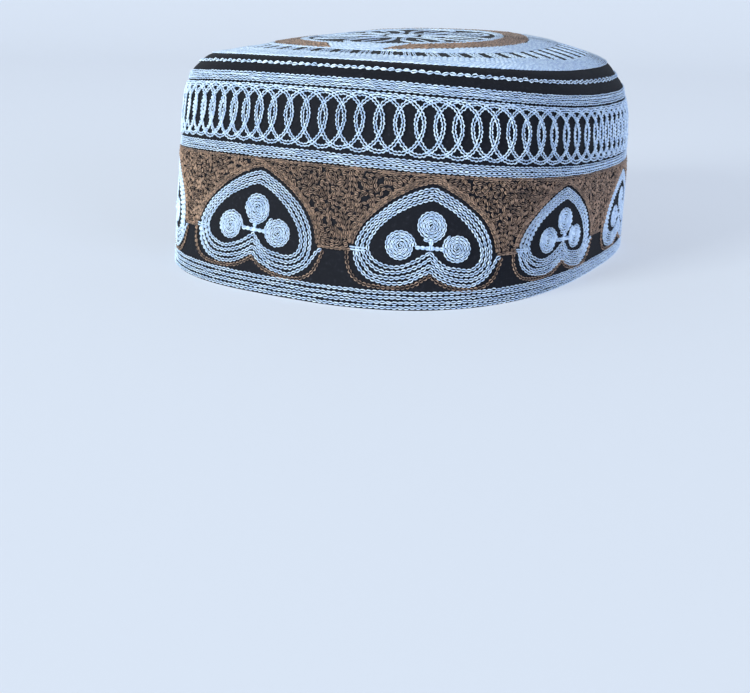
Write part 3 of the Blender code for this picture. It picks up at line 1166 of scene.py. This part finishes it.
def plied_thread_group():
    """Colour that changes by stitch, painted shade at the link ends and in the twist's grooves, and the
    relief of the twist.
    """
    group, start, end = new_group(
        "plied_thread",
        [
            ("NodeSocketColor", "Light", (1, 1, 1, 1)), ("NodeSocketColor", "Dark", (0.5, 0.5, 0.5, 1)),
            ("NodeSocketFloat", "Uneven", 0.30), ("NodeSocketFloat", "Link Shade", 1.0),
        ],
        [("NodeSocketColor", "Colour"), ("NodeSocketFloat", "Height"), ("NodeSocketFloat", "Roughness")],
    )
    yarn = group.nodes.new("ShaderNodeUVMap")
    yarn.uv_map = "yarn"
    apart = group.nodes.new("ShaderNodeSeparateXYZ")
    link(group, yarn.outputs["UV"], apart.inputs[0])
    along, over = apart.outputs[0], apart.outputs[1]
    wave = math_node(group, "ADD", math_node(group, "MULTIPLY", along, TWISTS), over)
    twist = math_node(group, "SINE", math_node(group, "MULTIPLY", wave, 2 * math.pi))
    twist = math_node(group, "MULTIPLY_ADD", twist, 0.5, 0.5)
    stitch = group.nodes.new("ShaderNodeTexWhiteNoise")
    stitch.noise_dimensions = "1D"
    link(group, math_node(group, "FLOOR", along), stitch.inputs["W"])
    place = group.nodes.new("ShaderNodeTexCoord")
    fuzz = group.nodes.new("ShaderNodeTexNoise")
    set_values(fuzz, {"Scale": FUZZ_SCALE, "Detail": 2})
    link(group, place.outputs["Object"], fuzz.inputs["Vector"])
    uneven = math_node(group, "SUBTRACT", stitch.outputs["Value"], 0.5)
    light = math_node(group, "MULTIPLY_ADD", uneven, start.outputs["Uneven"], MEAN_LIGHT)
    # painted shade: a link is darkened toward its ends, where it meets the next link
    in_link = math_node(group, "SUBTRACT", math_node(group, "FRACT", along), 0.5)
    link_end_factor = math_node(group, "MULTIPLY", math_node(group, "ABSOLUTE", in_link), LINK_SHADE_REACH)
    link_end_factor = math_node(group, "POWER", link_end_factor, LINK_SHADE_POWER)
    light = math_node(group, "SUBTRACT", light, math_node(group, "MULTIPLY", link_end_factor, start.outputs["Link Shade"]))
    shade = math_node(group, "ADD", light, math_node(group, "MULTIPLY", fuzz.outputs["Fac"], FUZZ_LIGHT))
    # painted shade: the thread is lighter where the twist's relief is high and darker in its grooves
    shade = math_node(group, "ADD", shade, math_node(group, "MULTIPLY", twist, TWIST_GROOVE_SHADE))
    mix = group.nodes.new("ShaderNodeMix")
    mix.data_type = "RGBA"
    link(group, shade, mix.inputs["Factor"])
    link(group, start.outputs["Dark"], mix.inputs["A"])
    link(group, start.outputs["Light"], mix.inputs["B"])
    link(group, mix.outputs["Result"], end.inputs["Colour"])
    link(group, math_node(group, "ADD", twist, fuzz.outputs["Fac"]), end.inputs["Height"])
    rough = math_node(group, "MULTIPLY_ADD", fuzz.outputs["Fac"], FUZZ_ROUGHNESS, SMOOTHEST)
    link(group, rough, end.inputs["Roughness"])
    return group


# %% Weave group
LINT_SCALE = 900            # grain of the lint
LINT_SHARPNESS = 9.0        # how small and rare its specks are
LINT_STRENGTH = 6.0


def plain_weave_group():
    """Warp and weft of close cloth, with a little lint."""
    group, start, end = new_group(
        "plain_weave",
        [
            ("NodeSocketColor", "Cloth", (0, 0, 0, 1)), ("NodeSocketColor", "Lint", (1, 1, 1, 1)),
            ("NodeSocketFloat", "Threads", 1800.0),
        ],
        [("NodeSocketColor", "Colour"), ("NodeSocketFloat", "Height")],
    )
    place = group.nodes.new("ShaderNodeTexCoord")
    warps = []
    for direction in ("X", "Z"):
        wave = group.nodes.new("ShaderNodeTexWave")
        wave.bands_direction = direction
        set_values(wave, {"Distortion": 0.6, "Detail": 1.0})
        link(group, place.outputs["Object"], wave.inputs["Vector"])
        link(group, start.outputs["Threads"], wave.inputs["Scale"])
        warps.append(wave.outputs["Fac"])
    weave = math_node(group, "MULTIPLY", *warps)
    lint = group.nodes.new("ShaderNodeTexNoise")
    set_values(lint, {"Scale": LINT_SCALE, "Detail": 4})
    link(group, place.outputs["Object"], lint.inputs["Vector"])
    specks = math_node(group, "POWER", lint.outputs["Fac"], LINT_SHARPNESS)
    mix = group.nodes.new("ShaderNodeMix")
    mix.data_type = "RGBA"
    link(group, math_node(group, "MULTIPLY", specks, LINT_STRENGTH), mix.inputs["Factor"])
    link(group, start.outputs["Cloth"], mix.inputs["A"])
    link(group, start.outputs["Lint"], mix.inputs["B"])
    link(group, mix.outputs["Result"], end.inputs["Colour"])
    link(group, math_node(group, "ADD", weave, specks), end.inputs["Height"])
    return group


thread_group = plied_thread_group()
weave_group = plain_weave_group()
for group in (thread_group, weave_group):
    print(group.name, "has", len(group.nodes), "nodes")

# %% Thread and cloth materials
def new_finish(name, group):
    """A material with one Principled shader, a group and a bump."""
    material = bpy.data.materials.new(name)
    material.use_nodes = True
    tree = material.node_tree
    shader = tree.nodes["Principled BSDF"]
    look = tree.nodes.new("ShaderNodeGroup")
    look.node_tree = group
    bump = tree.nodes.new("ShaderNodeBump")
    link(tree, look.outputs["Colour"], shader.inputs["Base Color"])
    link(tree, look.outputs["Height"], bump.inputs["Height"])
    link(tree, bump.outputs["Normal"], shader.inputs["Normal"])
    return material, shader, look, bump


def thread_finish(name, light, dark, uneven, link_end_factor):
    """Plied cotton thread."""
    material, shader, look, bump = new_finish(name, thread_group)
    set_values(look, {"Light": light, "Dark": dark, "Uneven": uneven, "Link Shade": link_end_factor})
    link(material.node_tree, look.outputs["Roughness"], shader.inputs["Roughness"])
    set_values(shader, {"Sheen Weight": 0.08, "Sheen Roughness": 0.4, "Specular IOR Level": 0.5})
    set_values(bump, {"Strength": 0.5, "Distance": 0.05 * MM})
    return material


def cloth_finish(name, cloth, lint):
    """Black cotton cloth."""
    material, shader, look, bump = new_finish(name, weave_group)
    set_values(look, {"Cloth": cloth, "Lint": lint, "Threads": 380.0})
    set_values(shader, {"Roughness": 0.85, "Specular IOR Level": 0.12, "Sheen Weight": 0.02})
    set_values(bump, {"Strength": 0.35, "Distance": 0.08 * MM})
    return material


# %% Colours, and which piece has which
# each thread's dark colour is its colour in shade: mixing toward it paints shade at the link ends and in
# the twist's grooves, and also varies the tone at random from stitch to stitch
WHITE_LIGHT = (0.74, 0.88, 1.0, 1)
WHITE_DARK = (0.21, 0.36, 0.64, 1)
BROWN_LIGHT = (0.44, 0.295, 0.21, 1)
BROWN_DARK = (0.060, 0.034, 0.024, 1)
CLOTH_BLACK = (0.0044, 0.0054, 0.0088, 1)
LINT = (0.034, 0.037, 0.050, 1)

# the last number for each thread sets how strong the painted shade at its link ends is
white_thread = thread_finish("white_thread", WHITE_LIGHT, WHITE_DARK, uneven=0.50, link_end_factor=0.22)
brown_thread = thread_finish("brown_thread", BROWN_LIGHT, BROWN_DARK, uneven=0.95, link_end_factor=1.0)
black_cloth = cloth_finish("black_cloth", CLOTH_BLACK, LINT)
white_bands = (hem_rows, low_rows, high_rows, rings, shoulder)
white_figures = (hearts, trefoils, crown_band, strokes, rosette)
finishes = (
    (white_thread, white_bands + white_figures),
    (brown_thread, (outlines, brown_fill, brown_ring)),
    (black_cloth, (side_cloth, crown_cloth)),
)
for finish, pieces in finishes:
    for piece in pieces:
        piece.data.materials.append(finish)
    print(finish.name, "on", len(pieces), "pieces")
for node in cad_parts.values():
    node.data.materials.clear()
    node.data.materials.append(black_cloth)

# %% [markdown]
# ## The studio
# The cap stands by its hem on a pale round floor that curves up into a wall on every side, so no
# horizon shows. Daylight comes soft from the front left, as a large window gives it, with a weaker
# bluish light from the front right. The floor also glows a little, which keeps it pale and even
# while the lamps are set for the thread.

# %% Floor and sweep
FLOOR_COLOUR = (0.30, 0.33, 0.37, 1)
FLOOR_GLOW = (0.416, 0.453, 0.514, 1)
SWEEP_RADIUS = 0.9
SWEEP_AT = 1.3              # metres from the cap to the bend behind it
NEAR_SWEEP_AT = 3.2         # and to the bend behind the camera
WALL_HEIGHT = 4.0
FLOOR_SIDES = 96
BEND_STEPS = 16


def make_sweep():
    """A round floor that curves up into a wall on every side."""
    ahead = Vector((-CAMERA_PLACE.x, -CAMERA_PLACE.y, 0)).normalized()
    middle = ahead * (SWEEP_AT - NEAR_SWEEP_AT) / 2
    flat_radius = (SWEEP_AT + NEAR_SWEEP_AT) / 2
    profile = []
    for step in range(BEND_STEPS + 1):
        bend = math.radians(90 * step / BEND_STEPS)
        profile.append((flat_radius + SWEEP_RADIUS * math.sin(bend), SWEEP_RADIUS * (1 - math.cos(bend))))
    profile.append((flat_radius + SWEEP_RADIUS, WALL_HEIGHT))
    points, faces = [], [tuple(range(FLOOR_SIDES))]
    for ring, (reach, height) in enumerate(profile):
        for side in range(FLOOR_SIDES):
            turn = 2 * math.pi * side / FLOOR_SIDES
            points.append(middle + Vector((reach * math.cos(turn), reach * math.sin(turn), height)))
            here, there = ring * FLOOR_SIDES + side, ring * FLOOR_SIDES + (side + 1) % FLOOR_SIDES
            if ring + 1 < len(profile):
                faces.append((here, here + FLOOR_SIDES, there + FLOOR_SIDES, there))
    mesh = bpy.data.meshes.new("floor_sweep")
    mesh.from_pydata(points, [], faces)
    mesh.shade_smooth()
    sweep = add_object("floor_sweep", mesh)
    material = bpy.data.materials.new("pale_floor")
    material.use_nodes = True
    shader = material.node_tree.nodes["Principled BSDF"]
    set_values(shader, {"Base Color": FLOOR_COLOUR, "Roughness": 0.9, "Specular IOR Level": 0.1})
    set_values(shader, {"Emission Color": FLOOR_GLOW, "Emission Strength": 1.0})
    mesh.materials.append(material)
    print("floor:", len(faces), "faces, flat for", flat_radius, "m round its middle")


make_sweep()

# %% Light
SKY = (0.72, 0.82, 1.0, 1)
SKY_STRENGTH = 0.12
LIT_PLACE = Vector((0, 0, 0.04))    # the middle of the cap


def soft_light(name, place, size, power, colour):
    """A large square lamp that faces the cap."""
    lamp = bpy.data.lights.new(name, "AREA")
    lamp.shape = "SQUARE"
    lamp.size = size
    lamp.energy = power
    lamp.color = colour
    holder = add_object(name, lamp)
    holder.location = place
    holder.rotation_euler = (Vector(place) - LIT_PLACE).to_track_quat("Z", "Y").to_euler()
    print(name, power, "W")


world = bpy.data.worlds.new("daylight")
scene.world = world
world.use_nodes = True
sky = world.node_tree.nodes["Background"]
set_values(sky, {"Color": SKY, "Strength": SKY_STRENGTH})
soft_light("window", (-2.50, 0.90, 0.66), size=0.9, power=103.0, colour=(0.98, 1.0, 0.92))
soft_light("fill_light", (-1.1, -2.6, 0.50), size=1.3, power=52.0, colour=(0.77, 0.83, 1.0))
scene.view_settings.view_transform = "Standard"
